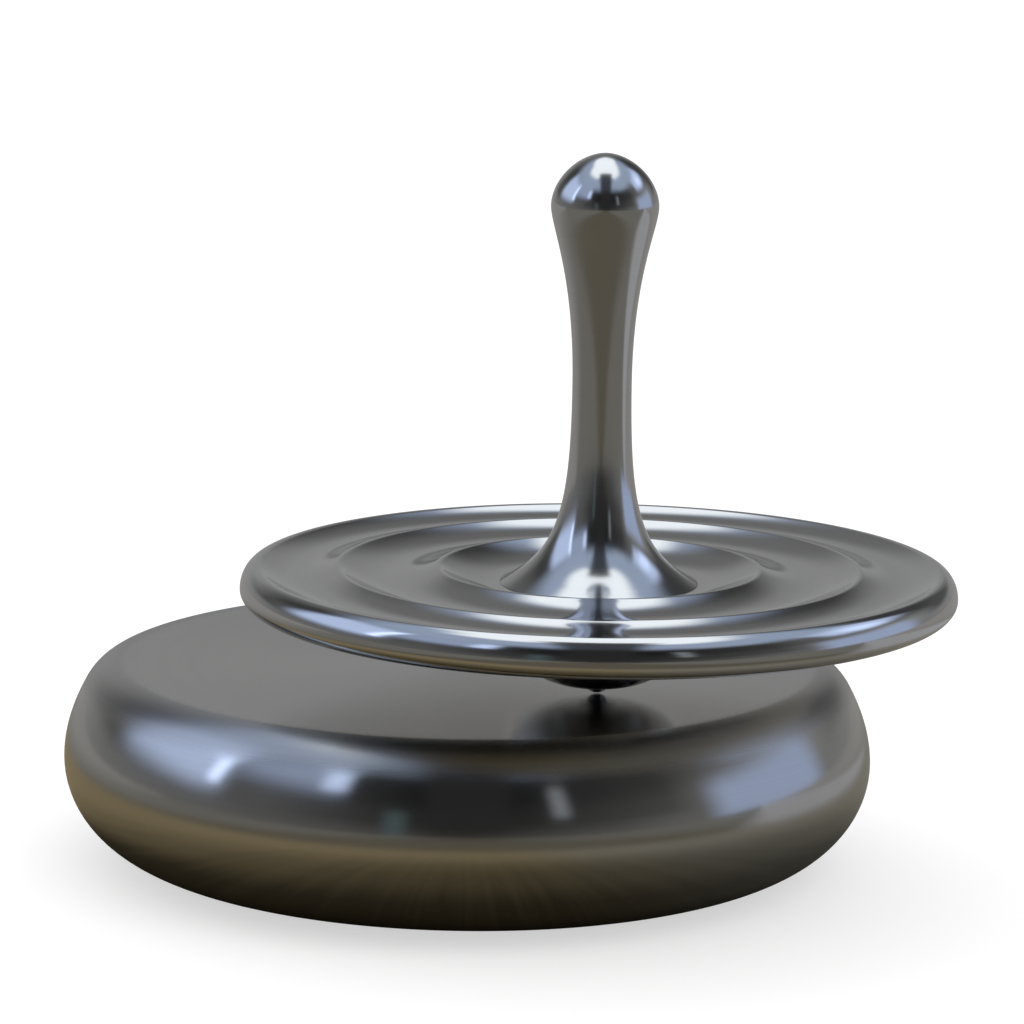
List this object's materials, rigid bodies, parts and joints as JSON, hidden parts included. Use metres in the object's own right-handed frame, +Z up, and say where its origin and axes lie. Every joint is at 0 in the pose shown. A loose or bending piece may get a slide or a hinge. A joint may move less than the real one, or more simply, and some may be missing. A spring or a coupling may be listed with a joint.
{
  "type": "spinning top with base",
  "caption": "Metal finger top with a drop-shaped handle, a rippled flywheel disc and a ball tip, standing on a rounded, dished base.",
  "frame": {"origin": "centre of the foot pad's underside, on the base's axis", "axes": "+Z up along the base's axis, +X to the right and -Y to the front as the picture shows the set"},
  "size_m": [0.063, 0.0635, 0.0523],
  "materials": {
    "satin_steel": "brushed round the axis, satin",
    "polished_steel": "turned and polished",
    "ballast_iron": "turned",
    "plate_steel": "brushed",
    "screw_steel": "blackened",
    "spring_steel": "blued",
    "pad_rubber": "matt",
    "ball_steel": "polished"
  },
  "bodies": {
    "base": {"base_shell": "satin_steel", "ballast_slug": "ballast_iron", "base_plate": "plate_steel", "plate_screws": "screw_steel", "foot_pad": "pad_rubber"},
    "ball": {"tip_ball": "ball_steel"},
    "stud": {"handle_stud": "screw_steel"},
    "top": {"ripple_disc": "polished_steel", "drop_handle": "polished_steel", "spring_washer": "spring_steel", "nose_cone": "polished_steel"}
  },
  "joints": [
    {"name": "top_lift", "type": "slide", "parent": "base", "child": "ball", "axis": [0, 0, 1], "range_m": [0, 0.06]},
    {"name": "top_lean", "type": "hinge", "parent": "ball", "child": "stud", "pos_m": [0.009, -0.0095, 0.0154], "axis": [0, 1, 0], "range_deg": [-13, 13]},
    {"name": "top_spin", "type": "hinge", "parent": "stud", "child": "top", "pos_m": [0.009, -0.0095, 0.0154], "axis": [0, 0, 1], "continuous": true}
  ]
}
